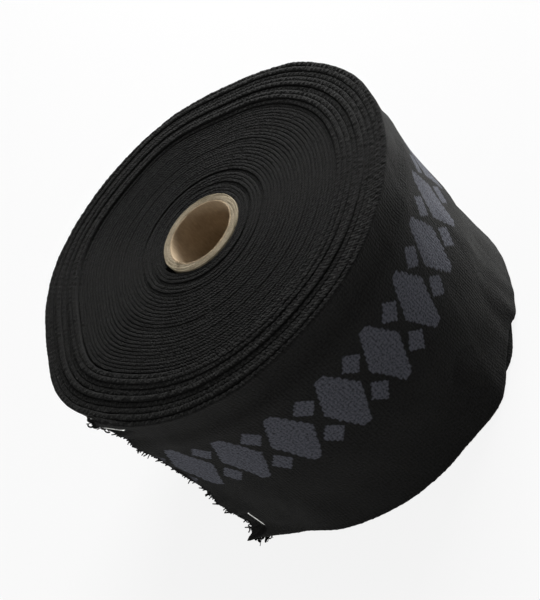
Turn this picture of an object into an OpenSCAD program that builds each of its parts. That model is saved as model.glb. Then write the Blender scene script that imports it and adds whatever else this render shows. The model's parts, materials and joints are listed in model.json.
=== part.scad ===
// Roll of ribbed wrap strip on a cardboard core, with its cut end stapled down.
// Millimetres. +Z is the winding axis, and the roll stands on its end at z = 0.
// From the core outwards the strip is wound clockwise, seen from above.

/* [Strip] */
// Width of the strip, which is the height of the roll
strip_w = 92; // [60:1:120]
// Thickness of the strip
strip_t = 1.2; // [0.8:0.1:1.8]
// Whole turns in the tight inner winding
tight_turns = 29; // [6:1:32]
// Gap between the turns of the tight winding
tight_gap = 0.08; // [0.05:0.01:0.4]
// Extra gap where the tight winding ends and the loose one begins
zone_gap = 1.5; // [0.2:0.1:3]
// Turns in the loose outer winding
loose_turns = 9; // [4:1:12]
// Gap between the turns of the loose winding
loose_gap = 0.7; // [0.4:0.1:1.2]

/* [Core] */
// Bore of the cardboard core, which takes the spindle
core_bore_d = 25.4; // [20:0.2:50.8]
// Thickness of the smooth liner and of the cover ply
core_skin_t = 0.6; // [0.4:0.1:1]
// Thickness of the plies between them
core_body_t = 2; // [1:0.1:4]
// Thickness of the glue film between the plies, and between the core and the tape
glue_t = 0.05; // [0.02:0.01:0.1]

/* [Start tape] */
// Thickness of the tape that holds the first turn to the core
tape_t = 0.15; // [0.1:0.05:0.3]
// How far the tape goes round the core, in degrees
tape_arc = 70; // [30:5:120]
// Bare strip above and below the tape
tape_margin = 8; // [0:1:20]

/* [Free end] */
// Direction of the cut edge, in degrees round the roll from +X
cut_at = 207.5; // [195:0.5:230]
// Length of the end that peels away, in degrees round the roll
flap_arc = 40; // [20:1:60]
// Slit between the end and the turn that it belongs to
slit = 0.3; // [0.2:0.1:0.5]

/* [Staples] */
// Length of a staple's crown
crown_l = 12.7; // [8:0.1:14]
// Length of a staple's legs
leg_l = 6; // [4:0.5:8]
// Width of the staple wire, across the crown
wire_w = 0.7; // [0.5:0.05:1]
// Thickness of the staple wire
wire_t = 0.5; // [0.4:0.05:0.7]
// Direction of the upper staple, which lies round the roll and over the cut edge
upper_staple_at = 206.5; // [204:0.5:212]
// From the upper edge of the strip down to the upper staple
upper_staple_drop = 5.2; // [3:0.1:20]
// Direction of the lower staple, which stands along the cut edge
lower_staple_at = 210; // [209.5:0.5:214]
// From the lower edge of the strip up to the middle of the lower staple
lower_staple_rise = 15.5; // [10:0.1:30]

/* [Frayed yarns] */
// Diameter of a warp yarn
yarn_d = 0.8; // [0.6:0.1:1]
// Longest yarn that stands out of the cut edge
stub_l = 3.2; // [1:0.2:6]
// Distance between the yarns that stand out of the cut edge
stub_pitch = 3; // [2:0.5:6]
// Length of the yarns at the upper corner
upper_tuft_l = 8; // [3:0.5:10]
// Length of the yarns at the lower corner
lower_tuft_l = 9; // [3:0.5:10]
// Yarns at the upper corner, between the upper staple and the edge
upper_tuft_yarns = 4; // [2:1:4]
// Yarns at the lower corner
lower_tuft_yarns = 6; // [3:1:9]

/* [Hidden] */
$fn = 96;
YARN_FN = 16;

core_r1 = core_bore_d / 2;
core_r2 = core_r1 + core_skin_t;
core_r3 = core_r2 + glue_t + core_body_t;
core_r4 = core_r3 + glue_t + core_skin_t;
tape_r = core_r4 + glue_t;
first_r = tape_r + tape_t + glue_t;

// A turn is two half rings. Their centres lie half a pitch apart, so each turn
// runs into the next one, and every half is a true cylinder.
tight_pitch = strip_t + tight_gap;
loose_pitch = strip_t + loose_gap;
all_turns = tight_turns + loose_turns;
last_turn = all_turns - 1;

function pitch(i) =
    i < tight_turns - 1 ? tight_pitch :
    i == tight_turns - 1 ? tight_pitch + zone_gap :
    loose_pitch;
function turn_r(i) =
    i < tight_turns ? first_r + i * tight_pitch :
    first_r + tight_turns * tight_pitch + zone_gap + (i - tight_turns) * loose_pitch;

// The second half of the last turn carries the cut end.
end_x = -pitch(last_turn) / 2;
end_r = turn_r(last_turn) + pitch(last_turn) / 2 + strip_t;
hinge_at = cut_at + flap_arc;
slit_arc = slit / end_r * 180 / PI;

// A leg leaves its hole along an arc about the hinge, so its hole is a slot.
leg_clear = 0.25;
leg_sweep = leg_l * tan(flap_arc / 2) + leg_clear;
crown_gap = 0.05;
bend_r = 0.9;
leg_offset = (crown_l - wire_t) / 2;
upper_staple_z = strip_w - upper_staple_drop;

// The upper corner's yarns share the strip above the staple, and the lower ones lie close.
upper_tuft_room = upper_staple_drop - wire_w / 2 - crown_gap;
upper_tuft_step = upper_tuft_room / upper_tuft_yarns;
lower_tuft_step = yarn_d * 1.15;
lower_tuft_z = (lower_tuft_yarns * lower_tuft_step) / 2 + yarn_d;

// A tube from z = 0 to the strip's width
module tube(r_in, r_out) {
    difference() {
        cylinder(h = strip_w, r = r_out);
        translate([0, 0, -1]) cylinder(h = strip_w + 2, r = r_in);
    }
}

// A piece of strip bent round an arc, from one direction to another
module bent_strip(x, r, from, to, t = strip_t, z = 0, w = strip_w) {
    translate([x, 0, z]) rotate([0, 0, from])
        rotate_extrude(angle = to - from) translate([r, 0]) square([t, w]);
}

module first_half(i) {
    bent_strip(0, turn_r(i), 0, 180);
}

// It starts where the first half ends, and goes round by up to half a turn
module second_half(i, arc = 180) {
    mirror([0, 1, 0]) bent_strip(-pitch(i) / 2, turn_r(i) + pitch(i) / 2, 0, arc);
}

// Puts x outwards, y round the roll and z up, on the outside of the last turn
module on_surface(at, z) {
    translate([end_x, 0, 0]) rotate([0, 0, at]) translate([end_r, 0, z]) children();
}

// Puts a staple's children in place: x outwards, y along its crown
module at_upper_staple() {
    on_surface(upper_staple_at, upper_staple_z) children();
}

module at_lower_staple() {
    on_surface(lower_staple_at, lower_staple_rise) rotate([90, 0, 0]) children();
}

// Outline of a staple's outer edge, with the wire's bends rounded
module staple_outline(half_l, top, r) {
    translate([top - leg_l, -half_l]) square([leg_l - r, 2 * half_l]);
    translate([top - r, r - half_l]) square([r, 2 * (half_l - r)]);
    for (side = [-1, 1]) translate([top - r, side * (half_l - r)]) circle(r, $fn = 48);
}

// A staple with its crown just off the strip, legs towards the core
module staple() {
    top = crown_gap + wire_t;
    translate([0, 0, -wire_w / 2]) linear_extrude(wire_w) difference() {
        staple_outline(crown_l / 2, top, bend_r);
        translate([-leg_l, wire_t - crown_l / 2])
            square([leg_l + crown_gap - bend_r + wire_t, crown_l - 2 * wire_t]);
        staple_outline(crown_l / 2 - wire_t, crown_gap, bend_r - wire_t);
    }
}

// The strip's own holes round a staple's legs
module leg_holes() {
    side = wire_t + 2 * leg_clear;
    for (end = [-1, 1]) translate([-leg_l - 1, end * leg_offset - side / 2, -side / 2])
        cube([leg_l + 2, side, side]);
}

// Slots in the turns below, which let the legs out as the end is peeled
module leg_slots(along_y) {
    depth = leg_l + 1;
    narrow = wire_w + 2 * leg_clear;
    long = wire_t + leg_clear + leg_sweep;
    for (end = [-1, 1]) {
        if (along_y)
            translate([-depth, end * leg_offset - wire_t / 2 - leg_clear, -narrow / 2])
                cube([depth, long, narrow]);
        else
            translate([-depth, -wire_w / 2 - leg_clear, end * leg_offset - narrow / 2])
                cube([depth, long, narrow]);
    }
}

// A yarn end along -y, turned outwards and upwards
module yarn(l, out, up) {
    rotate([-up, 0, out]) rotate([90, 0, 0]) {
        cylinder(h = l, d = yarn_d, $fn = YARN_FN);
        translate([0, 0, l]) sphere(d = yarn_d, $fn = YARN_FN);
    }
}

module core_liner_ply() {
    color("#b49a75") tube(core_r1, core_r2);
}

module core_body_plies() {
    color("#9f8967") tube(core_r2 + glue_t, core_r3);
}

module core_cover_ply() {
    color("#b8a07c") tube(core_r3 + glue_t, core_r4);
}

module start_tape() {
    color("#cfc6a4") bent_strip(0, tape_r, 180 - tape_arc, 180, tape_t,
                                tape_margin, strip_w - 2 * tape_margin);
}

module wrap_inner_turns() {
    color("#1a1a1c") for (i = [0 : tight_turns - 1]) {
        first_half(i);
        second_half(i);
    }
}

module wrap_outer_turns() {
    color("#1f1f21") difference() {
        union() {
            for (i = [tight_turns : last_turn]) first_half(i);
            for (i = [tight_turns : last_turn - 1]) second_half(i);
            second_half(last_turn, 360 - hinge_at);
        }
        at_upper_staple() leg_slots(true);
        on_surface(lower_staple_at, lower_staple_rise) leg_slots(false);
    }
}

module wrap_free_end() {
    color("#232325") difference() {
        bent_strip(end_x, end_r - strip_t, cut_at, hinge_at - slit_arc);
        at_upper_staple() leg_holes();
        at_lower_staple() leg_holes();
    }
}

module staple_upper() {
    color("silver") at_upper_staple() staple();
}

module staple_lower() {
    color("silver") at_lower_staple() staple();
}

module cut_edge_yarns() {
    first = lower_staple_rise;
    last = upper_staple_z - stub_pitch;
    color("#2a2a2c") for (z = [first : stub_pitch : last]) {
        share = 0.7 + 0.3 * sin(z * 137);
        on_surface(cut_at, z) translate([-strip_t / 2, 0, 0]) yarn(stub_l * share, 0, 0);
    }
}

// Yarn ends that fan out of a corner of the strip, just off the cut edge
module corner_yarns(count, z, step, l, out, fan) {
    for (k = [0 : count - 1]) {
        place = k - (count - 1) / 2;
        lean = out * (0.6 + 0.4 * sin(k * 95));
        rise = fan * place;
        off_edge = yarn_d / 2 * (sin(lean) + abs(sin(rise))) + crown_gap;
        on_surface(cut_at, z + place * step)
            translate([-strip_t / 2, -off_edge, 0])
            yarn(l * (0.85 + 0.15 * cos(k * 140)), lean, rise);
    }
}

module upper_corner_yarns() {
    color("#2d2d30") corner_yarns(upper_tuft_yarns, strip_w - upper_tuft_room / 2,
                                  upper_tuft_step, upper_tuft_l, 20, 0.5);
}

module lower_corner_yarns() {
    color("#2d2d30") corner_yarns(lower_tuft_yarns, lower_tuft_z,
                                  lower_tuft_step, lower_tuft_l, 50, 3);
}

core_liner_ply();
core_body_plies();
core_cover_ply();
start_tape();
wrap_inner_turns();
wrap_outer_turns();
wrap_free_end();
staple_upper();
staple_lower();
cut_edge_yarns();
upper_corner_yarns();
lower_corner_yarns();
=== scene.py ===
import json
import math
import random

import bpy
import numpy as np
from mathutils import Matrix, Vector


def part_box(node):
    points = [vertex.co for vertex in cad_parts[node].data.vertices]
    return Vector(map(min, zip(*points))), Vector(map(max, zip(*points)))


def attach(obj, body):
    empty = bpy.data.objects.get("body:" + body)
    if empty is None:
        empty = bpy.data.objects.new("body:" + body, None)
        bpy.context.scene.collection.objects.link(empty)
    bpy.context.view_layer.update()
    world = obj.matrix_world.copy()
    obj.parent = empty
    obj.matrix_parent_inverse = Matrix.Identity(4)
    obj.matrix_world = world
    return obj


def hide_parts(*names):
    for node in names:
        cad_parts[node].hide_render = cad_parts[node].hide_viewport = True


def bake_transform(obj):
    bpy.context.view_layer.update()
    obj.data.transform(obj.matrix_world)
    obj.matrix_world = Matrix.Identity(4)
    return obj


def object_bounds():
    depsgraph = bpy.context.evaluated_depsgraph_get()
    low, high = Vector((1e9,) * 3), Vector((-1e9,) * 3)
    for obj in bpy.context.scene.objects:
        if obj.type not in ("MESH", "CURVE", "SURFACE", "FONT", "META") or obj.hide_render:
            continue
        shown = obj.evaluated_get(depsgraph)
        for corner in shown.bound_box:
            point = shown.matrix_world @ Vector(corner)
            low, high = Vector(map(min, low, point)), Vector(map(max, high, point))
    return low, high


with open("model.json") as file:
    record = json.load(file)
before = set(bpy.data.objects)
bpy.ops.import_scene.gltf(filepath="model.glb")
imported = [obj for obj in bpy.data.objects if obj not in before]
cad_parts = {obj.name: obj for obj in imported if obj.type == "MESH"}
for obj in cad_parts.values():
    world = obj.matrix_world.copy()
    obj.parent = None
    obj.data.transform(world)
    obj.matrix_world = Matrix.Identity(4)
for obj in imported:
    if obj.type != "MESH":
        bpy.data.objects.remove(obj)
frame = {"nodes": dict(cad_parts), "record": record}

CAD_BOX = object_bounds()
MM = 0.001
TURN = 2 * math.pi

# ---------------------------------------------------------------- sizes, in metres
BORE_R = frame["record"]["mounts"][0]["dims"]["r_mm"] * MM
LINER_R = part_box("core_liner_ply")[1].x
BOARD_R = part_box("core_body_plies")[1].x
CORE_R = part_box("core_cover_ply")[1].x
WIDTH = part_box("wrap_inner_turns")[1].z

# The direction of the cut edge, and the roll's outer radius there
CUT_AT = math.radians(207.5)
OUTER_R = 73.06 * MM
# The cloth, and the spacing of the turns in the tight winding
THICK = 1.2 * MM
TIGHT_PITCH = 1.28 * MM
# The outer radius of the first turn, which lies on the core and its tape
FIRST_R = CORE_R + 1.45 * MM
# Air under each turn of the loose outer winding, from the outside inwards
LOOSE_GAPS = [g * MM for g in (0.7, 1.2, 1.0, 0.7, 1.05, 0.7, 0.75, 0.7, 1.0)]
LOOSE_TURNS = len(LOOSE_GAPS)
# How far the upper edge of each of those turns, and of the next one, stands above the
# end face
LOOSE_LIFTS = [z * MM for z in (-0.2, 0.3, -0.6, 0.2, 0.6, -0.5, 0.4, 0.7, 0.1, -0.9)]
# Deeper in, turns whose edge lies below its neighbours: turns from the cut, and how far
LOW_TURNS = ((20.7, 0.2 * MM), (30.5, 0.42 * MM), (34.2, 0.4 * MM))

# How far the woven selvages stand out of each face of the cloth, and reach across it
CORD = 0.33 * MM
CORD_WIDTH = 1.6 * MM
# Where the points lie on a selvage's rounded edge, in degrees from face to face
SELVAGE_AT = (35, 90, 145)
# The spacing of the ribs, of the loops along the selvage and of the warp yarns
RIB = 1.15 * MM
LOOP = 2 * RIB
WARP = 0.66 * MM

# The woven band, measured up from the strip's lower edge, and its repeat
BAND_LOW = WIDTH - 48.9 * MM
BAND_HIGH = WIDTH - 19.4 * MM
MOTIF = 20.2 * MM

# The middle of each staple, as direction and height, and how far the lower one's ends
# lie to either side of upright
UPPER_STAPLE = (math.radians(208.5), WIDTH - 4.5 * MM)
LOWER_STAPLE = (math.radians(209.9), 15.5 * MM)
LOWER_LEAN = 0.6 * MM
# A staple's outside length, its legs, its wire's width and thickness, its bends, and
# how far the wire's centre line lies above the cloth
CROWN = 12.7 * MM
LEG = 6 * MM
WIRE = 0.7 * MM
WIRE_THIN = 0.5 * MM
WIRE_BEND = 0.65 * MM
WIRE_LIFT = 0.25 * MM

# Where the free end and the ribbed outermost turn stop, as winding angles from the cut
FLAP_END = math.radians(46)
RIBBED_END = math.radians(480)
TIGHT_PIECES = 3
# The distance between the points along the strip: with ribs, and without
RIBBED_STEP = RIB / 4
PLAIN_STEP = LOOP / 5

# Bulges and dents as rows of millimetres, direction and half width in degrees: round
# the outer turns, along the outermost turn's lower edge, and where its lip turns out
PRESSED_AT = (
    (2.2, 123, 26), (1.7, 185, 15), (1.0, 76, 13), (-1.9, 47, 15), (-0.9, 158, 13),
    (0.8, 358, 22), (0.4, 288, 10),
)
RAISED_AT = ((3.6, 218, 13), (1.5, 235, 14), (1.3, 228, 7), (1.5, 60, 25), (0.9, 150, 18))
LIP_AT = ((2.7, 304, 8.5), (1.0, 311, 4))
# The same for the folds in the outermost turn: from edge to edge, and low down
FOLDS_AT = ((-0.5, 75, 6), (0.4, 95, 7))
LOW_FOLDS_AT = ((0.5, 317, 3), (2.2, 290, 9), (-0.8, 311, 3.5))


# ---------------------------------------------------------------- smooth noise
def wobble(x, seed, waves=6, low=1.0, high=7.0):
    """A smooth wander between about -1 and 1, the same on every run: sine waves with
    speeds from low to high."""
    r = random.Random(seed)
    x = np.asarray(x, float)
    total = np.zeros_like(x)
    for k in range(waves):
        speed = low * (high / low) ** (k / (waves - 1))
        speed = speed * r.uniform(0.8, 1.2)
        phase = r.uniform(0, 6.28)
        total = total + np.sin(x * speed + phase)
    return total / waves ** 0.5 / 1.4


def ease(x):
    """A smooth step from 0 to 1."""
    x = np.clip(x, 0.0, 1.0)
    return x * x * (3 - 2 * x)


def bell(x):
    return np.exp(-np.asarray(x, float) ** 2)


def around(angle, centre, width):
    """A bell round one direction on the roll, in degrees."""
    off = (np.degrees(angle) - centre + 180) % 360 - 180
    return bell(off / width)


def all_around(angle, bumps):
    """The sum of such bells, in millimetres."""
    return sum(height * around(angle, at, width) for height, at, width in bumps)


# ---------------------------------------------------------------- the winding
def drop_at(turns):
    """How far the outer face has moved in, after so many turns from the cut edge."""
    steps = [THICK + g for g in LOOSE_GAPS]
    knots = np.concatenate([[0], np.cumsum(steps)])
    loose = np.interp(turns, np.arange(len(knots)), knots)
    return loose + np.maximum(turns - LOOSE_TURNS, 0) * TIGHT_PITCH


def total_turns():
    room = OUTER_R - drop_at(LOOSE_TURNS) - FIRST_R
    return LOOSE_TURNS + float(room) / TIGHT_PITCH


TOTAL_TURNS = total_turns()


def hug_core(turns):
    """Near the core the strip lies against it, then climbs over its own start."""
    left = TOTAL_TURNS - turns
    part = left - np.floor(left)
    return TIGHT_PITCH * (part - ease((part - 0.88) / 0.12)) * (1 - ease(left / 14))


def outer_share(r):
    """How much of the outer turns' distortion reaches the turn at this radius."""
    return ease((r / OUTER_R - 0.40) / 0.35)


def out_of_round(angle, r):
    """The outer turns have been pressed a little out of true."""
    return all_around(angle, PRESSED_AT) * MM * outer_share(r)


def waisted(angle, z, r):
    """The thick selvages build up, so the roll is wider at its ends than between."""
    top = 1.1 * (1 - 0.85 * around(angle, 211, 20))
    profile = (
        top * bell((WIDTH - z) / (7 * MM))
        + 0.4 * bell((WIDTH - 15 * MM - z) / (4 * MM))
        + 0.6 * bell(z / (8 * MM))
        - 1.0 * bell((z - 54 * MM) / (16 * MM))
        - 0.7 * bell((z - 24 * MM) / (11 * MM))
    )
    return profile * MM * outer_share(r)


def lift_at(turns):
    """The height of the strip's upper edge above the roll's end face. Round one side
    the loose turns lie more evenly."""
    loose = np.interp(turns, np.arange(len(LOOSE_LIFTS)) + 0.35, LOOSE_LIFTS)
    angle = turns * TURN
    ripple = wobble(angle, 5, 5, 0.31, 1.9) * 0.2 * MM
    tight = -0.3 * MM + 0.035 * MM * wobble(turns, 8, 5, 0.5, 2.6)
    for at, depth in LOW_TURNS:
        tight = tight - depth * (1 - ease(np.abs(turns - at) / 0.9))
    loose = loose * (1 - 0.75 * around(CUT_AT + angle, 335, 70))
    mixed = ease((turns - LOOSE_TURNS + 0.6) / 0.5)
    return ripple * (1 - 0.5 * mixed) + loose * (1 - mixed) + tight * mixed


def lower_edge(angle, turns):
    """The height of the strip's lower edge, wavy on the outermost turn."""
    wave = all_around(angle, RAISED_AT) * (1 - ease(turns - 0.9))
    lip = all_around(angle, LIP_AT) * (1 - ease((turns - 0.8) / 0.12))
    plain = 0.62 + 0.2 * wobble(angle * 1.7 + turns, 12)
    return (plain + wave + lip) * MM


def selvage_bulge(angle, turns):
    """How far the thick selvages stand out of the cloth's outer and inner faces. Round
    one side of the roll they fill the gaps between the loose turns."""
    air = [0.0] + LOOSE_GAPS[:-1] + [2 * CORD]
    middles = np.arange(len(air)) - 0.5
    over = np.interp(turns - 0.5, middles, air)
    under = np.interp(turns + 0.5, middles, air)
    filled = 0.72 + 0.28 * np.minimum(1.3 * around(angle, 335, 80), 1)
    outer = CORD + filled * np.maximum(over / 2 - CORD, 0)
    inner = CORD + filled * np.maximum(under / 2 - CORD, 0)
    loose = 1 - ease((turns - LOOSE_TURNS + 0.4) / 0.5)
    return outer * loose, inner * loose


def strip_state(psi):
    """Direction, outer radius and both edges of the strip, at a winding angle."""
    turns = psi / TURN
    angle = CUT_AT + psi
    r = OUTER_R - drop_at(turns) - hug_core(turns)
    loose = 1 - ease((turns - 8.2) / 1.5)
    r = r + wobble(psi, 3, 5, 0.23, 2.3) * 0.16 * MM * loose
    r = r + out_of_round(angle, r)
    high = WIDTH + lift_at(turns) - 0.3 * MM
    return angle, r, lower_edge(angle, turns), high


def arc_lengths(psi):
    """Metres of strip from the cut edge, for winding angles in rising order."""
    turns = psi / TURN
    r = OUTER_R - drop_at(turns)
    steps = np.diff(psi) * (r[1:] + r[:-1]) / 2
    return np.concatenate([[0], np.cumsum(steps)])


def winding_table():
    """Matches winding angles to lengths of strip, once for the whole roll."""
    psi = np.linspace(0, TOTAL_TURNS * TURN, 40000)
    return psi, arc_lengths(psi)


PSI_KNOTS, S_KNOTS = winding_table()


def psi_of(s):
    return np.interp(s, S_KNOTS, PSI_KNOTS)


def s_of(psi):
    return float(np.interp(psi, PSI_KNOTS, S_KNOTS))


def turns_at(s):
    return psi_of(s) / TURN


# ---------------------------------------------------------------- meshes
def new_piece(name, points, faces, uvs=None, smooth=True):
    mesh = bpy.data.meshes.new(name)
    mesh.from_pydata(points, [], faces)
    if uvs is not None:
        layer = mesh.uv_layers.new(name="strip")
        loops = np.zeros(len(mesh.loops), np.int32)
        mesh.loops.foreach_get("vertex_index", loops)
        layer.data.foreach_set("uv", np.asarray(uvs, np.float32)[loops].ravel())
    mesh.polygons.foreach_set("use_smooth", [smooth] * len(mesh.polygons))
    mesh.validate()
    mesh.update()
    mesh.set_sharp_from_angle(angle=math.radians(55))
    piece = bpy.data.objects.new(name, mesh)
    bpy.context.scene.collection.objects.link(piece)
    return piece


def loft(name, rings, uvs, rows=0):
    """A closed tube through rings of points, rings[i][j], with its ends filled. With
    rows, the ends are filled row by row between the two faces of a strip."""
    count, size = rings.shape[:2]
    i, j = np.meshgrid(np.arange(count - 1), np.arange(size), indexing="ij")
    k = (j + 1) % size
    quads = np.stack([i * size + j, (i + 1) * size + j, (i + 1) * size + k, i * size + k], -1)
    faces = quads.reshape(-1, 4).tolist()
    ends = [list(range(size))]
    if rows:
        cap = len(SELVAGE_AT)
        inner = [rows + cap + k for k in reversed(range(rows))]
        ends = [[k, k + 1, inner[k + 1], inner[k]] for k in range(rows - 1)]
        ends.append(list(range(rows - 1, rows + cap + 1)))
        ends.append(list(range(2 * rows + cap - 1, size)) + [0])
    last = (count - 1) * size
    faces += ends + [[last + j for j in reversed(end)] for end in ends]
    return new_piece(name, rings.reshape(-1, 3).tolist(), faces, uvs.reshape(-1, 2))


def section(rows, inner_rows):
    """The strip's cross-section, up the outer face and down the inner one: depth below
    the outer face, share of the width, metres beyond the edge, and how far it is on
    the rounded selvage."""
    cap = len(SELVAGE_AT)
    domes = [math.sin(math.radians(a)) ** 0.4 for a in SELVAGE_AT]
    depths = [THICK / 2 * (1 - math.cos(math.radians(a))) for a in SELVAGE_AT]
    depth = [0.0] * len(rows) + depths + [THICK] * len(inner_rows) + depths[::-1]
    share = list(rows) + [1.0] * cap + list(inner_rows)[::-1] + [0.0] * cap
    dome = [0.0] * len(rows) + domes + [0.0] * len(inner_rows) + [-d for d in domes[::-1]]
    dome = np.array(dome)
    return np.array(depth), np.array(share), dome * THICK * 0.26, dome


def crests(s, pitch):
    """Rounded ridges with sharp valleys between them."""
    return np.abs(np.sin(math.pi * s / pitch))


def grain(count, size, reach):
    """Two fields of uneven yarns along the strip's edges, each value smoothed over its
    neighbours within reach."""
    r = np.random.default_rng(count)
    fields = []
    aside = 8
    kernel = bell(np.arange(-aside, aside + 1) / max(reach, 0.6))
    for _ in range(2):
        field = r.normal(0, 1, (count + 2 * aside, size))
        field = np.stack([np.convolve(row, kernel, "valid") for row in field.T], 1)
        fields.append(np.clip(field / field.std(), -2, 2))
    return fields


def swelling(angle, turns, share, inwards, pressed):
    """How far the faces stand out at the thick selvages, and at mid width in the tight
    turns, where each presses on the next."""
    outer, inner = selvage_bulge(angle, turns)
    bulge = outer * (1 - inwards) - inner * inwards
    from_edge = np.minimum(share, 1 - share) * WIDTH
    belly = (TIGHT_PITCH - THICK) * 0.56 * pressed * bell((share - 0.5) / 0.3)
    return bulge * bell(from_edge / CORD_WIDTH) + belly * (1 - 2 * inwards)


def selvage_loops(s, sway, step, dome, pressed):
    """The loops of yarn along both edges: how far each point moves up and outwards."""
    tall = (0.17 + 0.06 * wobble(s / (3.1 * MM), 23)) * (1 - 0.75 * pressed) * MM
    nubs, rolls = grain(len(s), len(dome), 0.44 * RIB / step)
    uneven = (0.07 - 0.01 * pressed) * MM
    up = dome * ((crests(sway, LOOP) - 0.5) * tall + uneven * nubs)
    twist = np.sin(TURN * sway / LOOP + 0.9) * 0.09 * MM + 0.6 * uneven * rolls
    return up, twist * np.abs(dome)


def strip_piece(name, s0, s1, step, rows, inner_rows, shape=None):
    """A length of strip, from s0 to s1 metres past the cut edge. Its points lie in
    rows along the strip and in columns round its cross-section."""
    count = max(int(round((s1 - s0) / step)), 2)
    s = np.linspace(s0, s1, count + 1)[:, None]
    turns = turns_at(s)
    angle, r, low, high = strip_state(psi_of(s))
    depth, share, beyond, dome = section(rows, inner_rows)
    pressed = ease(turns - LOOSE_TURNS + 0.5)
    z = low + (high - low) * share + beyond * (1 - 0.6 * pressed)
    rad = r - depth + swelling(angle, turns, share, depth / THICK, pressed)
    rad = rad + waisted(angle, z, r)
    sway = s + 0.5 * MM * wobble(s / (40 * MM), 21) + 0.2 * MM * wobble(s / (4 * MM), 22)
    up, out = selvage_loops(s, sway, step, dome, pressed)
    z, rad = z + up, rad + out
    if shape:
        angle, rad, z = shape(s, angle, rad, z, depth, share)
    points = np.stack([rad * np.cos(angle), rad * np.sin(angle), z], -1)
    across = share * WIDTH + beyond + np.sign(dome) * depth
    uvs = np.stack(np.broadcast_arrays(sway, across), -1)
    same = len(rows) == len(inner_rows)
    return loft(name, points, uvs, len(rows) if same else 0)


# ---------------------------------------------------------------- the outermost turn
def rib_relief(s, share, z):
    """Ribs across the outer face, fading into the selvages."""
    inside = ease(share / 0.03) * ease((1 - share) / 0.03)
    drift = 0.5 * MM * wobble(z / (30 * MM), 31, 4) + 0.25 * MM * wobble(s / (25 * MM), 32, 4)
    return (crests(s + drift, RIB) - 0.6) * 0.045 * MM * inside


def soft_folds(angle, up):
    """Upright folds in the outermost turn, where it is slack."""
    low = ease((0.3 - up) / 0.3)
    return (
        all_around(angle, FOLDS_AT)
        + all_around(angle, LOW_FOLDS_AT) * low
        + 0.25 * around(angle, 338, 3.5) * ease((0.85 - up) / 0.5)
        + 0.3 * around(angle, 324, 3) * ease((0.7 - up) / 0.4)
        + 0.6 * around(angle, 231, 5) * ease((0.5 - up) / 0.5)
        - 0.5 * around(angle, 222, 4) * ease((0.45 - up) / 0.4)
        + 0.4 * around(angle, 20, 7) * ease(up / 0.6)
    )


def soft_rings(angle, up):
    """Rings round the outermost turn, from the selvages of the turns under it."""
    rings = 0.22 * bell((up - 0.845) / 0.022) - 0.25 * bell((up - 0.90) / 0.025)
    rings = rings * (0.6 + 0.4 * wobble(angle * 1.3, 43) + 1.0 * around(angle, 335, 28))
    hoops = wobble(up * 17 + 0.8 * np.sin(angle * 1.7), 44, 5, 0.6, 2.2)
    return rings + 0.24 * hoops * (0.25 + 0.75 * around(angle, 325, 35))


def creases(angle, z, turns):
    """Slack in the outermost turn, and where the next one stands out under its edge."""
    up = z / WIDTH
    slack = 0.2 * wobble(angle * 3.1 + up * 2.0, 41, 5)
    slack = slack + 0.08 * wobble(angle * 11 - up * 5, 42, 5)
    first = soft_folds(angle, up) + slack + soft_rings(angle, up)
    first = first * (1 - ease((turns - 1.0) / 0.12))
    second = 2.5 * around(angle, 302, 9) * bell(z / (2.6 * MM)) * ease((turns - 1.0) / 0.15)
    return (first + second) * MM


def ribbed_shape(s, angle, rad, z, depth, share):
    """Turns a plain winding into the outermost turn, ribbed and creased."""
    outside = np.clip(1 - depth / THICK, 0, 1)
    rad = rad + creases(angle, z, turns_at(s)) + rib_relief(s, share, z) * outside
    return angle, rad, z


def near_segment(s, z, a, b):
    """Distance from points on the unrolled strip to a straight segment."""
    ax, az, bx, bz = *a, *b
    t = ((s - ax) * (bx - ax) + (z - az) * (bz - az)) / ((bx - ax) ** 2 + (bz - az) ** 2)
    t = np.clip(t, 0, 1)
    return np.hypot(s - ax - t * (bx - ax), z - az - t * (bz - az))


def staple_places():
    """Both crowns on the unrolled strip: (along, up) at each end."""
    upper_s = (UPPER_STAPLE[0] - CUT_AT) * OUTER_R
    lower_s = (LOWER_STAPLE[0] - CUT_AT) * OUTER_R
    upper = ((upper_s - CROWN / 2, UPPER_STAPLE[1]), (upper_s + CROWN / 2, UPPER_STAPLE[1]))
    lower = ((lower_s - LOWER_LEAN, LOWER_STAPLE[1] - CROWN / 2),
             (lower_s + LOWER_LEAN, LOWER_STAPLE[1] + CROWN / 2))
    return upper, lower


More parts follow.
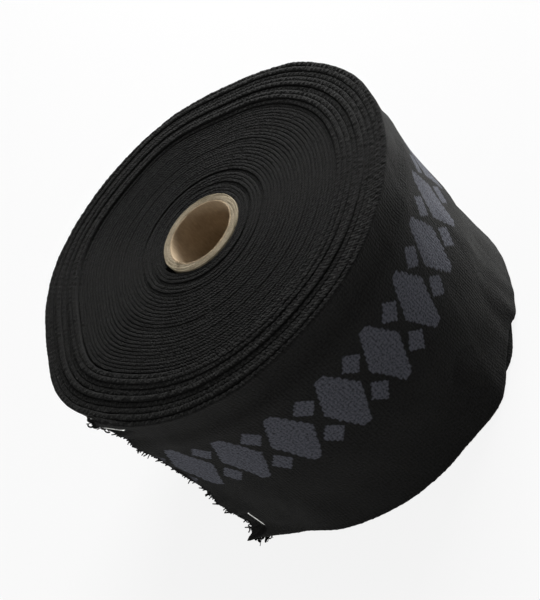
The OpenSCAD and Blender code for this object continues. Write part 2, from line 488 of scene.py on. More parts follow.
def free_corner(s, z):
    """How the free end differs from a plain wound strip: the shift along the strip,
    the lift off the roll and the shift up, at each point. It is worked out in
    millimetres from the cut edge, the lower edge and the upper edge."""
    over_wire, beside_wire = (near_segment(s, z, a, b) / MM for a, b in staple_places())
    s, up, down = s / MM, z / MM, (WIDTH - z) / MM
    top = ease((6.5 - down) / 4)
    neck = bell((up - 7) / 3.8)
    foot = bell((up - 6) / 9)
    low = bell((up - 4.5) / 7)
    held = 1 - 0.95 * bell(beside_wire / 2.1)
    tab = bell((down - 4) / 2.2) * bell(s / 4)
    ragged = 0.5 * wobble(up / 3.1, 51) + 0.35 * wobble(up / 0.9, 52)
    along = -6.6 * top * bell(s / 7) - 7.0 * low * bell(s / 5) * held
    along = along + ragged * bell(s / 2.5) - 2.0 * tab
    edge_lift = (0.5 + 0.3 * wobble(up / 9, 53, 4)) * (1 - top)
    edge_lift = edge_lift + 2.7 * bell((up - 28) / 9) + 0.8 * bell((up - 58) / 24)
    corner = (4.2 * neck + 2.1 * foot) * bell(s / 4) * held
    lift = 0.15 * top + corner + edge_lift * bell(s / 5.5)
    lift = lift + 1.4 * tab * (1 - bell(over_wire / 1.4))
    for gap in (over_wire, beside_wire):
        lift = lift - 0.6 * bell(gap / 1.1) + 0.3 * bell(gap / 3.4)
    lift = lift + 0.4 * np.sin(up / 2.2) * bell((s - 8) / 7) * foot
    rise = 0.4 * (3.6 - up) * bell(up / 12) * bell(s / 5) * held + 0.7 * top * bell(s / 6)
    return along * MM, lift * MM, rise * MM


def free_end_shape(s, angle, rad, z, depth, share):
    """The outermost turn's shape, with the free end's own lifts and curled corners."""
    angle, rad, z = ribbed_shape(s, angle, rad, z, depth, share)
    along, lift, rise = free_corner(s, z)
    return angle + along / OUTER_R, rad + lift, z + rise


def on_free_end(s, z, above=0.0):
    """Points on the outer face of the free end, or so far above it."""
    s, z = np.asarray(s, float), np.asarray(z, float)
    inside = np.maximum(s, 0)
    angle, r, _, _ = strip_state(psi_of(inside))
    angle = angle + np.minimum(s, 0) / OUTER_R
    rad = r + waisted(angle, z, r) + creases(angle, z, 0.0) + above
    along, lift, rise = free_corner(inside, z)
    angle, rad, z = angle + along / OUTER_R, rad + lift, z + rise
    return np.stack([rad * np.cos(angle), rad * np.sin(angle), z + 0 * rad], -1)


# ---------------------------------------------------------------- tubes: yarns and wires
def tube_rings(path, radius, sides):
    """Rings of points along a path, as an array [along][round][xyz]."""
    path = np.asarray(path, float)
    along = np.gradient(path, axis=0)
    along /= np.linalg.norm(along, axis=1)[:, None] + 1e-12
    side = np.cross(along[0], (0.13, 0.27, 0.95))
    radii = np.broadcast_to(np.asarray(radius, float), (len(path),))
    a = (np.arange(sides) * TURN / sides)[:, None]
    rings = []
    for p, t, r in zip(path, along, radii):
        side = side - t * np.dot(side, t)
        side = side / (np.linalg.norm(side) + 1e-12)
        rings.append(p + r * (np.cos(a) * side + np.sin(a) * np.cross(t, side)))
    return np.array(rings)


def tubes(name, paths, radii, sides):
    """One piece of many closed tubes."""
    points, faces, uvs = [], [], []
    for path, radius in zip(paths, radii):
        rings = tube_rings(path, radius, sides)
        base, count = len(points), len(rings)
        points.extend(rings.reshape(-1, 3).tolist())
        for i in range(count):
            uvs.extend([(i * 0.3 * MM, j / sides * 2 * MM) for j in range(sides)])
        for i in range(count - 1):
            for j in range(sides):
                k = (j + 1) % sides
                faces.append([base + i * sides + j, base + i * sides + k,
                              base + (i + 1) * sides + k, base + (i + 1) * sides + j])
        faces.append([base + j for j in reversed(range(sides))])
        faces.append([base + (count - 1) * sides + j for j in range(sides)])
    return new_piece(name, points, faces, uvs)


def local_axes(angle):
    """Outwards, onwards round the roll, and up, at a direction on the roll."""
    out = np.array([math.cos(angle), math.sin(angle), 0.0])
    on = np.array([-math.sin(angle), math.cos(angle), 0.0])
    return out, on, np.array([0.0, 0.0, 1.0])


def smooth_path(points, rounds):
    """A finer path with its corners rounded off."""
    path = np.asarray(points, float)
    for _ in range(rounds):
        fine = np.empty((2 * len(path) - 1, 3))
        fine[::2] = path
        fine[1::2] = (path[1:] + path[:-1]) / 2
        fine[1:-1] = (fine[:-2] + 2 * fine[1:-1] + fine[2:]) / 4
        path = fine
    return path


def bowed(start, aim, side, length, count):
    """A short yarn that bends away to one side."""
    steps = np.linspace(0, 1, count)
    return [start + aim * length * t + side * length * 0.5 * t * t for t in steps]


def loose_pick(r, pick):
    """A weft yarn worked loose, lying in waves along the cut edge."""
    out, on, _ = local_axes(CUT_AT)
    low = r.uniform(6, 60) * MM
    high = min(low + r.uniform(14, 34) * MM, WIDTH - 7 * MM)
    offset = r.uniform(-1.5, -0.2) * MM
    path = []
    for t in np.linspace(0, 1, 46):
        p = on_free_end(0.0, low + (high - low) * t, -THICK * 0.5)
        stray = offset + 0.45 * MM * math.sin(t * 61 + pick) * math.sin(t * 17 + 2 * pick)
        path.append(p + on * stray + out * 0.3 * MM * math.sin(t * 43 + pick * 1.7))
    return smooth_path(path, 1)


def edge_yarns():
    """Warp ends standing out of the raw cut, and weft picks worked loose along it."""
    r = random.Random(77)
    out, on, up = local_axes(CUT_AT)
    paths, radii = [], []
    z = 10 * MM
    while z < WIDTH - 6 * MM:
        start = on_free_end(0.3 * MM, z, -THICK * r.uniform(0.1, 0.9))
        length = r.uniform(0.8, 2.1) * MM * (1.4 if r.random() < 0.12 else 1.0)
        length = length * (1 - 0.55 * bell((z - 9 * MM) / (6 * MM)))
        aim = -on + out * r.uniform(-0.15, 0.9) + up * r.uniform(-0.9, 0.9)
        side = out * r.uniform(-0.5, 0.4) + up * r.uniform(-0.9, 0.9)
        paths.append(bowed(start, aim, side, length, 6))
        radii.append(np.linspace(0.30, 0.2, 6) * MM * r.uniform(0.8, 1.2))
        z += r.uniform(0.2, 0.5) * MM
    for pick in range(9):
        paths.append(loose_pick(r, pick))
        radii.append(0.26 * MM)
    return tubes("frayed_cut_edge", paths, radii, 6)


def curl(start, aim, side, length, ring, turn):
    """A yarn that runs out straight, then curls back on itself."""
    aim = aim / np.linalg.norm(aim)
    side = side - aim * np.dot(side, aim)
    side = side / np.linalg.norm(side)
    path = [start + aim * length * t for t in np.linspace(0, 1, 5)]
    centre = path[-1] + side * ring
    for a in np.linspace(0, turn, 14)[1:]:
        path.append(centre - side * ring * math.cos(a) + aim * ring * math.sin(a))
    return smooth_path(path, 1)


def corner_tuft(name, seed, count, heights, spread, aims, length, ring):
    """Looped yarns and thin strays out of one corner of the strip: over two heights up
    the cut edge, spread along the strip's own edge, and aimed outwards, onwards and
    upwards."""
    r = random.Random(seed)
    out, on, up = local_axes(CUT_AT)
    paths, radii = [], []
    for k in range(count):
        z = heights[0] + (heights[1] - heights[0]) * (k + 0.5) / count
        start = on_free_end(0.4 * MM + spread * k / count, z, -THICK * r.uniform(0.3, 0.7))
        fan = (0.7 - spread / (9 * MM)) * (k / (count - 1) - 0.5)
        aim = out * aims[0] + on * aims[1] + up * (aims[2] + fan)
        aim = aim + np.array([r.uniform(-0.2, 0.2) for _ in range(3)])
        side = up * r.choice((-1, 1)) + on * r.uniform(-0.6, 0.6) + out * r.uniform(-0.4, 0.4)
        reach = length * r.uniform(0.5, 1.1)
        turn = r.uniform(0.8, 1.5) * math.pi
        paths.append(curl(start, aim, side, reach, ring * r.uniform(0.8, 1.2), turn))
        radii.append(r.uniform(0.22, 0.3) * MM)
        for _ in range(2):
            tip = start + aim / np.linalg.norm(aim) * reach * r.uniform(0.6, 1.5)
            stray = np.array([r.uniform(-1, 1) for _ in range(3)]) * 1.2 * MM
            paths.append(smooth_path([start, (start + tip) / 2 + stray * 0.6, tip + stray], 2))
            radii.append(0.13 * MM)
    return tubes(name, paths, radii, 8)


def staple_leg(centre, aim, out):
    """The wire's centre line from a leg's point to the crown's end. aim is the way from
    the crown's centre to that end."""
    half = (CROWN - WIRE_THIN) / 2
    leg = []
    for t in np.linspace(1, 0, 5):
        below = WIRE_BEND + (LEG - WIRE_BEND) * t
        leg.append(centre + aim * half - out * below)
    corner = centre + aim * (half - WIRE_BEND) - out * WIRE_BEND
    for a in np.linspace(0, math.pi / 2, 6)[1:]:
        way = aim * math.cos(a) + out * math.sin(a)
        leg.append(corner + way * WIRE_BEND)
    return leg


def staple_path(ends):
    """The wire's centre line, leg to crown to leg, through the cloth of the free end,
    and the direction in which the wire is widest."""
    low, high = (on_free_end(s, z) for s, z in ends)
    line = (high - low) / np.linalg.norm(high - low)
    centre = on_free_end((ends[0][0] + ends[1][0]) / 2, (ends[0][1] + ends[1][1]) / 2)
    centre = (centre * 2 + low + high) / 4
    out = centre * (1, 1, 0) / np.linalg.norm(centre[:2])
    out = out - line * np.dot(out, line)
    centre = centre + out * WIRE_LIFT
    first, last = (staple_leg(centre, line * side, out) for side in (-1, 1))
    last.reverse()
    crown = [first[-1] + (last[0] - first[-1]) * t for t in np.linspace(0, 1, 9)[1:-1]]
    return first + crown + last, np.cross(out, line)


def staple(name, ends):
    """A staple of flattened wire."""
    path, wide = staple_path(ends)
    rings = tube_rings(path, WIRE / 2, 12)
    centre = np.asarray(path)[:, None, :]
    offset = rings - centre
    keep = (offset @ wide)[..., None] * wide
    rings = centre + keep + (offset - keep) * (WIRE_THIN / WIRE)
    uvs = np.zeros(rings.shape[:2] + (2,))
    uvs[..., 0] = np.linspace(0, CROWN + 2 * LEG, len(path))[:, None]
    return loft(name, rings, uvs)


# ---------------------------------------------------------------- the cardboard core
def seam_ridge(a, z, pitch):
    """The overlap of the liner's edges, a low step that winds up the bore."""
    off = (a - z / pitch * TURN + math.pi) % TURN - math.pi
    ridge = 0.28 * bell(off / 0.035) + 0.06 * ease(off / 0.2 + 0.5)
    return (ridge + 0.04 * wobble(a * 3 + z / (9 * MM), 63)) * MM


def worn_end(a, r):
    """The slight unevenness of the cut plies in the upper end face."""
    long_waves = 0.10 * MM * wobble(a * 5 + r / (0.35 * MM), 61, 6, 1.0, 9.0)
    return long_waves - 0.05 * MM * (1 + wobble(a * 40 + r / (0.2 * MM), 62, 4, 1.0, 3.0))


def ply_tube(name, r_in, r_out, rows_up, rows_across, seam=0.0):
    """A paper tube with softened ends, the upper one slightly uneven, and on request
    a helical seam of that pitch."""
    a = np.linspace(0, TURN, 240, endpoint=False)
    edge = min(0.12 * MM, (r_out - r_in) * 0.2)
    zs = np.linspace(edge, WIDTH - edge, rows_up)
    radial = np.linspace(r_in + edge, r_out - edge, rows_across)
    profile = [(r_in, z) for z in zs] + [(r, WIDTH) for r in radial]
    profile += [(r_out, z) for z in zs[::-1]] + [(r, 0.0) for r in radial[::-1]]
    rings = []
    for r, z in profile:
        rad = r + (seam_ridge(a, z, seam) if seam and r == r_in else 0 * a)
        high = z + (worn_end(a, r) if z > WIDTH - 1.0 * MM else 0 * a)
        rings.append(np.stack([rad * np.cos(a), rad * np.sin(a), high], -1))
    rings = np.array(rings)
    size, count = len(a), len(rings)
    faces = []
    for i in range(count):
        n = (i + 1) % count
        for j in range(size):
            k = (j + 1) % size
            faces.append([i * size + j, n * size + j, n * size + k, i * size + k])
    return new_piece(name, rings.reshape(-1, 3).tolist(), faces)


def core_fibres():
    """Paper fibres torn up round the mouth of the core, a third of them in one place."""
    r = random.Random(5)
    paths, radii = [], []
    for k in range(90):
        a = r.uniform(0, TURN)
        if k > 60:
            a = math.radians(196) + r.gauss(0, 0.12)
        out, on, up = local_axes(a)
        from_axis = r.choice((BORE_R + 0.1 * MM, r.uniform(BORE_R, CORE_R)))
        start = out * from_axis + up * (WIDTH - 0.1 * MM)
        length = r.uniform(0.3, 1.1) * MM
        aim = up * r.uniform(0.2, 0.9) + out * r.uniform(-1, 0.7) + on * r.uniform(-1, 1)
        side = on * r.uniform(-1, 1) + out * r.uniform(-1, 1)
        paths.append(bowed(start, aim, side, length, 5))
        radii.append(np.linspace(0.05, 0.025, 5) * MM)
    return tubes("core_fibres", paths, radii, 5)


# ---------------------------------------------------------------- materials
# Colours in pairs: the plain one, and the darker one for dull patches and dark joints; on the
# cloth and the loose yarn the darker one is also painted shade, in the yarns' hollows and, on
# the cloth, along the cut edge and the selvages
BLACK_YARN = (0.0125, 0.0125, 0.0120, 1)
BLACK_DEEP = (0.0020, 0.0020, 0.0019, 1)
GREY_YARN = (0.105, 0.109, 0.130, 1)
GREY_DEEP = (0.012, 0.012, 0.015, 1)
LOOSE_YARN = (0.011, 0.011, 0.010, 1)
LOOSE_DEEP = (0.003, 0.003, 0.003, 1)
LINER = (0.50, 0.385, 0.255, 1)
LINER_DEEP = (0.32, 0.24, 0.152, 1)
BOARD = (0.42, 0.355, 0.255, 1)
BOARD_DEEP = (0.19, 0.155, 0.10, 1)
COVER = (0.36, 0.31, 0.22, 1)
COVER_DEEP = (0.19, 0.16, 0.105, 1)
ZINC = (0.74, 0.74, 0.72, 1)
ZINC_DULL = (0.5, 0.5, 0.48, 1)
TAPE = (0.64, 0.58, 0.40, 1)
TAPE_DEEP = (0.52, 0.46, 0.30, 1)
# The spacing of the laminations in the core's body
PLY = 0.42 * MM


class Nodes:
    """A short way to write a material's node tree."""

    def __init__(self, name):
        self.material = bpy.data.materials.new(name)
        self.material.use_nodes = True
        self.tree = self.material.node_tree
        self.shader = self.tree.nodes["Principled BSDF"]

    def set(self, socket, value):
        if isinstance(value, bpy.types.NodeSocket):
            self.tree.links.new(value, socket)
        else:
            socket.default_value = value

    def add(self, kind, inputs=(), out=0, **settings):
        node = self.tree.nodes.new(kind)
        for key, value in settings.items():
            setattr(node, key, value)
        items = inputs.items() if isinstance(inputs, dict) else enumerate(inputs)
        for key, value in items:
            self.set(node.inputs[key], value)
        return node.outputs[out]

    def math(self, operation, *inputs):
        return self.add("ShaderNodeMath", inputs, operation=operation)

    def plus(self, a, b):
        return self.math("ADD", a, b)

    def minus(self, a, b):
        return self.math("SUBTRACT", a, b)

    def times(self, a, b):
        return self.math("MULTIPLY", a, b)

    def split(self, where):
        node = self.tree.nodes.new("ShaderNodeSeparateXYZ")
        self.set(node.inputs[0], where)
        return node.outputs

    def uv(self):
        """Metres along the strip, and metres across it and round its selvages."""
        along, across, _ = self.split(self.add("ShaderNodeUVMap", uv_map="strip"))
        return along, across

    def join(self, x, y, z=0.0):
        return self.add("ShaderNodeCombineXYZ", (x, y, z))

    def noise(self, where, scale, detail=3.0, rough=0.5):
        inputs = {"Vector": where, "Scale": scale, "Detail": detail, "Roughness": rough}
        return self.add("ShaderNodeTexNoise", inputs)

    def place(self):
        """Where a point is on the piece, in metres."""
        return self.add("ShaderNodeTexCoord", out=3)

    def ramp(self, value, low, high, to_low=0.0, to_high=1.0):
        """value, rescaled from low to high to the new range, and held at its ends."""
        return self.add("ShaderNodeMapRange", (value, low, high, to_low, to_high))

    def mix(self, share, a, b):
        """A colour between a and b. A Mix node has its colours in sockets 6 and 7."""
        node = self.tree.nodes.new("ShaderNodeMix")
        node.data_type = "RGBA"
        for key, value in ((0, share), (6, a), (7, b)):
            self.set(node.inputs[key], value)
        return node.outputs[2]

    def bump(self, height, strength, distance):
        inputs = {"Height": height, "Strength": strength, "Distance": distance}
        self.set(self.shader.inputs["Normal"], self.add("ShaderNodeBump", inputs))

    def finish(self, colour, **sockets):
        self.set(self.shader.inputs["Base Color"], colour)
        for key, value in sockets.items():
            self.set(self.shader.inputs[key.replace("_", " ")], value)
        return self.material


def waves(n, x, pitch):
    """Rounded ridges from 0 to 1, every pitch metres."""
    return n.math("ABSOLUTE", n.math("SINE", n.times(x, math.pi / pitch)))


def past_edge(n, v):
    """Metres past the strip's nearer edge, round the selvage, and 0 on the faces."""
    half = WIDTH / 2
    out = n.minus(n.math("ABSOLUTE", n.minus(v, half)), half)
    return n.math("MAXIMUM", out, 0.0)


def selvage_shade(n, u, v):
    """Painted shade in the hollows between the selvage's loops, deepest next to the turns
    beside it, and a little over the whole selvage.
    """
    past = past_edge(n, v)
    # The open top of the selvage lies about 0.75 mm past the edge, between its flanks
    aside = n.math("ABSOLUTE", n.minus(past, 0.75 * MM))
    beside = n.ramp(aside, 0.0, 0.6 * MM, 0.35, 1.0)
    hollow = n.times(n.ramp(waves(n, u, LOOP), 0.0, 0.8, 1.0, 0.0), beside)
    hollow = n.times(hollow, n.ramp(past, 0.05 * MM, 0.2 * MM))
    # Painted shade: the whole selvage, which makes the roll's end face, is a little darker
    loops = n.ramp(past, 0.0, 0.2 * MM, 1.0, 0.82)
    return n.minus(loops, n.times(hollow, 0.66))


def weave(n, u, v):
    """The height of the cloth's yarns: ribs across the strip, broken up by the warp."""
    where = n.join(u, v)
    wander = n.times(n.noise(where, 160.0, 3.0, 0.6), 1.2 * MM)
    past = past_edge(n, v)
    rib = waves(n, n.plus(n.plus(u, past), wander), RIB)
    row = n.math("FLOOR", n.times(u, 1 / RIB))
    shifted = n.plus(v, n.times(row, WARP / 2))
    warp = waves(n, shifted, WARP)
    lean = n.plus(n.times(u, 0.8), v)
    ply = waves(n, lean, 0.3 * MM)
    fuzz = n.noise(where, 2200.0, 4.0, 0.65)
    knots = n.noise(where, 1100.0, 2.0, 0.6)
    cell = n.times(n.plus(0.35, n.times(rib, 0.45)), n.plus(0.5, n.times(warp, 0.5)))
    height = n.plus(cell, n.times(ply, 0.12))
    height = n.plus(height, n.times(fuzz, 0.35))
    strands = n.times(n.ramp(past, 0.0, 0.2 * MM), n.minus(rib, 0.6))
    height = n.plus(height, n.times(strands, 0.35))
    return n.plus(height, n.times(n.minus(knots, 0.5), 2.0))


def band_mask(n, u, v):
    """A woven band of lozenges, with small diamonds above and below the middle
    between them: 1 where the yarn is grey."""
    fray = n.noise(n.join(u, v), 900.0, 2.0)
    stepped = n.times(n.math("ROUND", n.times(u, 1 / RIB)), RIB)
    along = n.plus(n.times(stepped, 0.6), n.times(u, 0.4))
    phase = n.math("PINGPONG", n.minus(along, 9 * MM), MOTIF / 2)
    middle = (BAND_LOW + BAND_HIGH) / 2
    half = (BAND_HIGH - BAND_LOW) / 2
    up = n.math("ABSOLUTE", n.minus(v, middle))
    jitter = n.times(n.minus(fray, 0.5), 1.1 * MM)
    slope = n.times(up, 6.3 * MM / half)
    lozenge = n.minus(7.9 * MM, n.plus(phase, slope))
    lozenge = n.math("MINIMUM", lozenge, n.minus(half, up))
    aside = n.minus(MOTIF / 2, phase)
    over = n.math("ABSOLUTE", n.minus(up, 0.6 * half))
    small = n.minus(4.2 * MM, n.plus(aside, n.times(over, 0.8)))
    inside = n.plus(n.math("MAXIMUM", lozenge, small), jitter)
    return n.ramp(inside, -0.15 * MM, 0.15 * MM)


def strip_material(name, banded):
    """The cloth, with painted shade along its frayed cut edge, where the print fades out too.
    """
    n = Nodes(name)
    u, v = n.uv()
    height = weave(n, u, v)
    where = n.join(u, v)
    patch = n.noise(where, 45.0, 3.0, 0.6)
    speck = n.noise(where, 1300.0, 3.0, 0.7)
    mottle = n.ramp(speck, 0.34, 0.66, 0.2, 1.85)
    tone = n.times(n.ramp(patch, 0.3, 0.7, 0.8, 1.2), mottle)
    # Painted shade in a ragged band along the cut edge, wider towards the lower corner, where
    # the frayed margin lies in shade; the print fades out in that band too
    edge = n.plus(u, n.times(n.noise(where, 260.0), 3.0 * MM))
    edge = n.minus(edge, n.ramp(v, 8 * MM, 28 * MM, 2.6 * MM, 0.0))
    fray_and_shade = n.ramp(edge, 2.2 * MM, 4.2 * MM, 0.12, 1.0)
    tone = n.times(n.times(tone, fray_and_shade), selvage_shade(n, u, v))
    # Painted shade: black and grey yarn alike are darker in the weave's hollows, where its
    # height is low
    colour = n.mix(n.times(height, tone), BLACK_DEEP, BLACK_YARN)
    if banded:
        grey = n.mix(n.times(height, mottle), GREY_DEEP, GREY_YARN)
        colour = n.mix(n.times(band_mask(n, u, v), fray_and_shade), colour, grey)
    n.bump(height, 0.8, 0.24 * MM)
    return n.finish(
        colour,
        Roughness=0.9,
        Specular_IOR_Level=0.10,
        Sheen_Weight=0.045,
        Sheen_Roughness=0.35,
        Sheen_Tint=(0.85, 0.85, 0.82, 1),
    )


def yarn_material():
    n = Nodes("loose_yarn")
    u, v = n.uv()
    twist = waves(n, n.plus(u, v), 0.35 * MM)
    fuzz = n.noise(n.place(), 3000.0, 3.0, 0.6)
    # Painted shade in the grooves of the yarn's twist, over a random tone from the fuzz
    tone = n.times(n.ramp(fuzz, 0.3, 0.7, 0.5, 1.4), n.plus(0.4, twist))
    colour = n.mix(tone, LOOSE_DEEP, LOOSE_YARN)
    n.bump(n.plus(twist, fuzz), 0.6, 0.1 * MM)
    return n.finish(
        colour, Roughness=0.95, Specular_IOR_Level=0.1, Sheen_Weight=0.03, Sheen_Roughness=0.4
    )


def board_material(name, light, dark, plies):
    """Grey-brown paperboard. plies is the spacing of the laminations, or 0 for a face."""
    n = Nodes(name)
    place = n.place()
    x, y, z = n.split(place)
    blotch = n.noise(place, 140.0, 4.0, 0.6)
    fibre = n.noise(n.join(x, y, n.times(z, 0.3)), 1600.0, 4.0, 0.65)
    tone = n.plus(n.ramp(blotch, 0.3, 0.7, 0.0, 0.6), n.ramp(fibre, 0.3, 0.7, -0.1, 0.5))
    height = fibre
    if plies:
        r = n.math("SQRT", n.plus(n.times(x, x), n.times(y, y)))
        wander = n.times(n.noise(place, 220.0), 0.12 * MM)
        line = waves(n, n.plus(r, wander), plies)
        gap = n.ramp(line, 0.0, 0.35)
        tone = n.times(tone, n.plus(0.45, n.times(gap, 0.55)))
        height = n.plus(n.times(fibre, 0.6), gap)
    n.bump(height, 0.5, 0.12 * MM)
    return n.finish(n.mix(tone, dark, light), Roughness=0.85, Specular_IOR_Level=0.25)


def wire_material():
    n = Nodes("staple_wire")
    place = n.place()
    drawn = n.noise(place, 2500.0, 3.0, 0.6)
    tarnish = n.noise(place, 300.0, 3.0, 0.6)
    colour = n.mix(n.ramp(tarnish, 0.35, 0.7), ZINC, ZINC_DULL)
    n.bump(drawn, 0.15, 0.03 * MM)
    n.set(n.shader.inputs["Roughness"], n.ramp(drawn, 0.3, 0.7, 0.22, 0.42))
    return n.finish(colour, Metallic=1.0)


def tape_material():
    n = Nodes("start_tape")
    crinkle = n.noise(n.place(), 700.0, 4.0, 0.6)
    n.bump(crinkle, 0.4, 0.05 * MM)
    return n.finish(n.mix(n.ramp(crinkle, 0.3, 0.7), TAPE_DEEP, TAPE), Roughness=0.6)


def floor_material():
    """Diffuse white that keeps the shadow, lifted to white where it is seen directly."""
    n = Nodes("floor")
    colour = n.mix(n.noise(n.place(), 3.0), (0.56, 0.56, 0.56, 1), (0.6, 0.6, 0.6, 1))
    n.finish(colour, Roughness=0.95, Specular_IOR_Level=0.0)
    seen = n.tree.nodes.new("ShaderNodeLightPath")
    direct = n.math("MAXIMUM", seen.outputs["Is Camera Ray"], seen.outputs["Is Glossy Ray"])
    direct = n.math("MAXIMUM", direct, seen.outputs["Is Transmission Ray"])
    glow = n.add("ShaderNodeEmission", {"Color": (1, 1, 1, 1), "Strength": 1.0})
    away = n.add("ShaderNodeVectorMath", (n.place(),), out=1, operation="LENGTH")
    share = n.times(direct, n.ramp(away, 0.4, 1.5, 0.88, 1.0))
    mixed = n.add("ShaderNodeMixShader", (share, n.shader.outputs[0], glow))
    n.tree.links.new(mixed, n.tree.nodes["Material Output"].inputs[0])
    return n.material


# ---------------------------------------------------------------- pieces
def dress(piece, material, slot, body, *nodes):
    """Gives a piece its material and body, and hides the CAD nodes it replaces. A piece with
    no body is left unattached. slot is not used."""
    piece.data.materials.clear()
    piece.data.materials.append(material)
    if body:
        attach(piece, body)
    if nodes:
        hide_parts(*nodes)


def build_free_end(cloth, end_s):
    rows = np.concatenate(
        [np.linspace(0, 0.18, 30), np.linspace(0.2, 0.86, 32), np.linspace(0.875, 1, 24)])
    flap = strip_piece(
        "wrap_free_end_cloth", 0.0, end_s, RIBBED_STEP, rows, rows, free_end_shape)
    dress(flap, cloth, "wrap_end", None, "wrap_free_end")
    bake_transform(flap)


def build_outermost_turn(cloth, s0, s1):
    rows = np.concatenate(
        [[0.0, 0.012, 0.03], np.linspace(0.06, 0.94, 21), [0.97, 0.988, 1.0]])
    inner_rows = (0.0, 0.5, 1.0)
    turn = strip_piece(
        "wrap_outermost_turn", s0, s1, RIBBED_STEP, rows, inner_rows, ribbed_shape)
    dress(turn, cloth, "wrap", "roll", "wrap_outer_turns")


def build_turns(cloth, node, rows, cuts, names):
    """Plain turns as one piece between each two cuts. The last name is what they end on."""
    for k in range(len(cuts) - 1):
        piece = strip_piece(names[k], cuts[k], cuts[k + 1], PLAIN_STEP, rows, rows)
        dress(piece, cloth, "wrap", "roll", node)


def build_strip():
    plain = strip_material("wrap_cloth", False)
    banded = strip_material("wrap_cloth_banded", True)
    flap_s = round(s_of(FLAP_END) / RIB) * RIB
    ribbed_s = s_of(RIBBED_END)
    loose_s = s_of((LOOSE_TURNS + 0.05) * TURN)
    middle_s = (ribbed_s + loose_s) / 2
    tight_names = [f"wrap_tight_turns_{k + 1}" for k in range(TIGHT_PIECES)]
    build_free_end(banded, flap_s)
    build_outermost_turn(banded, flap_s, ribbed_s)
    build_turns(
        banded, "wrap_outer_turns", (0.0, 0.06, 0.5, 0.94, 1.0), (ribbed_s, middle_s, loose_s),
        ["wrap_loose_turns_1", "wrap_loose_turns_2", tight_names[0]])
    cuts = np.linspace(loose_s, float(S_KNOTS[-1]), TIGHT_PIECES + 1)
    build_turns(
        plain, "wrap_inner_turns", (0.0, 0.5, 1.0), cuts, tight_names + ["core_cover"])


def build_yarns():
    yarn = yarn_material()
    dress(edge_yarns(), yarn, "yarn", "free_end", "cut_edge_yarns")
    upper = corner_tuft(
        "frayed_upper_corner", seed=11, count=12, heights=(WIDTH - 5 * MM, WIDTH - 0.4 * MM),
        spread=0, aims=(0.45, -1.0, 0.1), length=2.0 * MM, ring=0.9 * MM)
    dress(upper, yarn, "yarn", "free_end", "upper_corner_yarns")
    lower = corner_tuft(
        "frayed_lower_corner", seed=14, count=8, heights=(1.6 * MM, 0.8 * MM),
        spread=3.6 * MM, aims=(1.0, 0.0, -0.1), length=2.9 * MM, ring=0.75 * MM)
    dress(lower, yarn, "yarn", "free_end", "lower_corner_yarns")


def build_staples():
    wire = wire_material()
    upper_ends, lower_ends = staple_places()
    dress(staple("wire_staple_upper", upper_ends), wire,
          "staple_wire", "free_end", "staple_upper")
    dress(staple("wire_staple_lower", lower_ends), wire,
          "staple_wire", "free_end", "staple_lower")


def build_core():
    liner = board_material("core_liner_paper", LINER, LINER_DEEP, 0)
    board = board_material("core_board", BOARD, BOARD_DEEP, PLY)
    cover = board_material("core_cover_paper", COVER, COVER_DEEP, 0)
    dress(ply_tube("core_liner", BORE_R, LINER_R, 90, 3, seam=78 * MM), liner,
          "core_liner", "roll", "core_liner_ply")
    dress(ply_tube("core_board_plies", LINER_R, BOARD_R, 4, 14), board,
          "core_board", "roll", "core_body_plies")
    dress(ply_tube("core_cover", BOARD_R, CORE_R, 4, 4), cover,
          "core_cover", "roll", "core_cover_ply")
    dress(core_fibres(), cover, "core_cover", "roll")
    tape = frame["nodes"]["start_tape"]
    tape.data.materials.clear()
    tape.data.materials.append(tape_material())


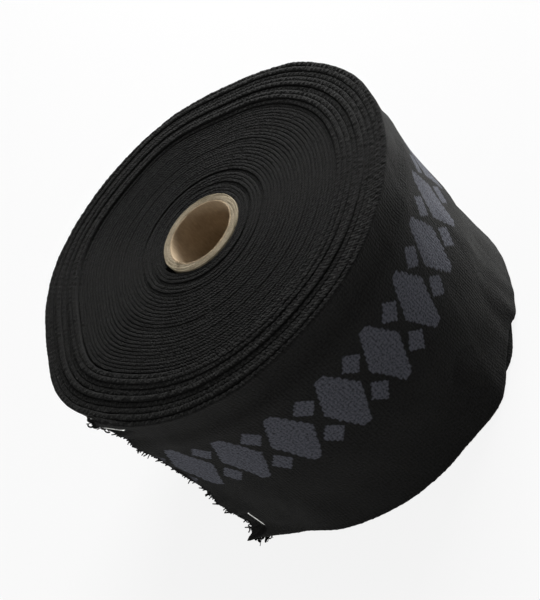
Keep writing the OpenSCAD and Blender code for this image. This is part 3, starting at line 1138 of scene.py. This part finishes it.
# ---------------------------------------------------------------- camera, floor and light
def build_camera():
    """The view from above the roll's front, turned on its side by the camera's roll:
    its distance from the axis, its height above the roll, its lens and its angles are
    fitted to the photo."""
    away, raised = 306.9 * MM, 204.7 * MM
    lean, roll = math.radians(38.93), math.radians(-48.32)
    right = Vector((1, 0, 0))
    up = Vector((0, math.sin(lean), math.cos(lean)))
    back = right.cross(up)
    turned_right = right * math.cos(roll) + up * math.sin(roll)
    turned_up = back.cross(turned_right)
    data = bpy.data.cameras.new("camera")
    data.lens = 64.38
    data.sensor_width = 36
    data.clip_start = 0.01
    camera = bpy.data.objects.new("camera", data)
    place = Matrix((turned_right, turned_up, back)).transposed().to_4x4()
    place.translation = Vector((-1.5 * MM, -away, WIDTH + raised))
    camera.matrix_world = place
    bpy.context.scene.collection.objects.link(camera)
    bpy.context.scene.camera = camera


def softbox(name, place, size, watts):
    """A plain white area light, aimed at the roll."""
    data = bpy.data.lights.new(name, "AREA")
    data.shape = "RECTANGLE"
    data.size, data.size_y = size
    data.energy = watts
    lamp = bpy.data.objects.new(name, data)
    lamp.location = place
    target = Vector((0, 0, WIDTH * 0.55))
    lamp.rotation_mode = "QUATERNION"
    lamp.rotation_quaternion = (target - Vector(place)).to_track_quat("-Z", "Y")
    bpy.context.scene.collection.objects.link(lamp)


def build_studio():
    low = CAD_BOX[0].z - 0.05 * MM
    half = 60.0
    corners = [(-half, -half, low), (half, -half, low), (half, half, low), (-half, half, low)]
    floor = new_piece("floor", corners, [[0, 1, 2, 3]], smooth=False)
    floor.data.materials.append(floor_material())
    softbox("right_softbox", (0.77, 0.52, 0.29), (0.5, 0.6), 23)
    softbox("left_softbox", (-0.80, -0.20, 0.14), (0.4, 0.4), 2.7)
    softbox("top_softbox", (0.5, 0.3, 0.9), (0.7, 0.7), 4.0)


def build_sky():
    """A dim white surround for light, which the camera sees as white."""
    world = bpy.data.worlds.new("studio")
    bpy.context.scene.world = world
    world.use_nodes = True
    nodes = world.node_tree.nodes
    seen = nodes.new("ShaderNodeLightPath")
    strength = nodes.new("ShaderNodeMapRange")
    strength.inputs["To Min"].default_value = 0.17
    strength.inputs["To Max"].default_value = 1.0
    nodes["Background"].inputs["Color"].default_value = (1, 1, 1, 1)
    world.node_tree.links.new(seen.outputs["Is Camera Ray"], strength.inputs["Value"])
    world.node_tree.links.new(strength.outputs[0], nodes["Background"].inputs["Strength"])


build_camera()
build_studio()
build_sky()
build_strip()
build_yarns()
build_staples()
build_core()
bpy.context.scene.view_settings.view_transform = "Standard"
